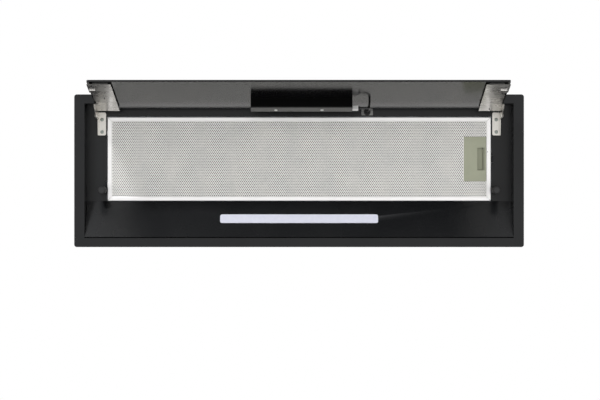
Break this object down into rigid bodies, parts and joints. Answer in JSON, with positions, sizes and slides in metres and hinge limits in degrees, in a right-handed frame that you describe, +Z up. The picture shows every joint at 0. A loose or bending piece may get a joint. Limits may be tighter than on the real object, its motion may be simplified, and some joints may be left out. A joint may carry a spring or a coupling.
{
  "type": "built-in range hood",
  "caption": "Built-in canopy range hood with a folding black glass flap, grease filter with latch, light strip, blower and top duct outlet.",
  "frame": {"origin": "centre of the trim flange's upper face, which seats against the cabinet's underside", "axes": "+Z up towards the duct, -Y towards the cook and the flap's hinges, +X towards the filter latch"},
  "size_m": [0.86, 0.3102, 0.4857],
  "materials": {
    "black_enamel": "satin black enamel",
    "frosted_lens": "frosted diffuser",
    "bare_aluminium": "satin",
    "circuit_board": "green solder mask",
    "lamp_chip": "phosphor",
    "galvanised": "zinc coated sheet",
    "spring_steel": "spring steel",
    "zinc_screw": "zinc plated",
    "grey_plastic": "moulded grey",
    "stainless": "brushed stainless",
    "black_plastic": "moulded black",
    "white_plastic": "moulded white",
    "motor_steel": "passivated steel",
    "black_rubber": "matt",
    "bright_screw": "bright",
    "magnet": "nickel plated",
    "filter_mesh": "perforated sheet",
    "latch_plastic": "moulded warm grey",
    "black_glass": "black tempered glass",
    "cable_jacket": "black jacket"
  },
  "bodies": {
    "hood": {"recess_tray": "black_enamel", "light_panel": "black_enamel", "lamp_lens": "frosted_lens", "lamp_channel": "bare_aluminium", "lamp_board": "circuit_board", "lamp_chips": "lamp_chip", "filter_seat": "galvanised", "filter_keepers": "spring_steel", "plenum_casing": "galvanised", "motor_casing": "galvanised", "casing_screws": "zinc_screw", "duct_spigot": "grey_plastic", "spigot_screws": "zinc_screw", "damper_rod": "stainless", "scroll_left": "black_plastic", "scroll_right": "black_plastic", "inlet_ring_left": "black_plastic", "inlet_ring_right": "black_plastic", "motor_stator": "bare_aluminium", "motor_bracket": "galvanised", "motor_bushes": "black_rubber", "run_capacitor": "white_plastic", "electronics_box": "black_plastic", "electronics_lid": "black_plastic", "power_board": "circuit_board", "terminal_block": "white_plastic", "mains_gland": "black_plastic", "hinge_base_left": "stainless", "hinge_base_right": "stainless", "hinge_screws": "bright_screw", "hinge_pin_left": "bright_screw", "hinge_pin_right": "bright_screw", "catch_posts": "stainless", "catch_magnets": "magnet", "catch_screws": "zinc_screw", "cable_grommet": "black_rubber", "cable_clip": "stainless", "flap_cable": "cable_jacket"},
    "damper_front": {"damper_front": "grey_plastic"},
    "damper_back": {"damper_back": "grey_plastic"},
    "fan": {"fan_impeller": "white_plastic", "motor_rotor": "motor_steel"},
    "filter": {"filter_frame": "bare_aluminium", "filter_front_mesh": "filter_mesh", "filter_core": "filter_mesh", "filter_back_mesh": "filter_mesh", "filter_pegs": "bare_aluminium", "latch_housing": "latch_plastic", "latch_spring": "spring_steel"},
    "latch": {"latch_slider": "latch_plastic"},
    "flap": {"flap_glass": "black_glass", "flap_arm_left": "stainless", "flap_arm_right": "stainless", "arm_pads": "black_rubber", "control_case": "black_plastic", "control_lid": "grey_plastic", "lid_screws": "bright_screw", "touch_board": "circuit_board", "flap_connector": "white_plastic", "connector_sleeve": "black_plastic"}
  },
  "joints": [
    {"name": "flap_hinge", "type": "hinge", "parent": "hood", "child": "flap", "pos_m": [0, -0.1072, 0.015], "axis": [-1, 0, 0], "range_deg": [-102.2, 0], "deforming": ["flap_cable"]},
    {"name": "filter_lift", "type": "slide", "parent": "hood", "child": "filter", "axis": [0, 0, -1], "range_m": [0, 0.2], "deforming": ["filter_keepers"]},
    {"name": "latch_slide", "type": "slide", "parent": "filter", "child": "latch", "axis": [-1, 0, 0], "range_m": [0, 0.006], "stiffness_N_per_m": 300, "springref_m": -0.004, "deforming": ["latch_spring"]},
    {"name": "fan_spin", "type": "hinge", "parent": "hood", "child": "fan", "pos_m": [0, -0.026, 0.152], "axis": [1, 0, 0], "continuous": true},
    {"name": "damper_front", "type": "hinge", "parent": "hood", "child": "damper_front", "pos_m": [0, 0.0305, 0.2892], "axis": [-1, 0, 0], "range_deg": [0, 75]},
    {"name": "damper_back", "type": "hinge", "parent": "hood", "child": "damper_back", "pos_m": [0, 0.0305, 0.2892], "axis": [1, 0, 0], "range_deg": [0, 75]}
  ]
}
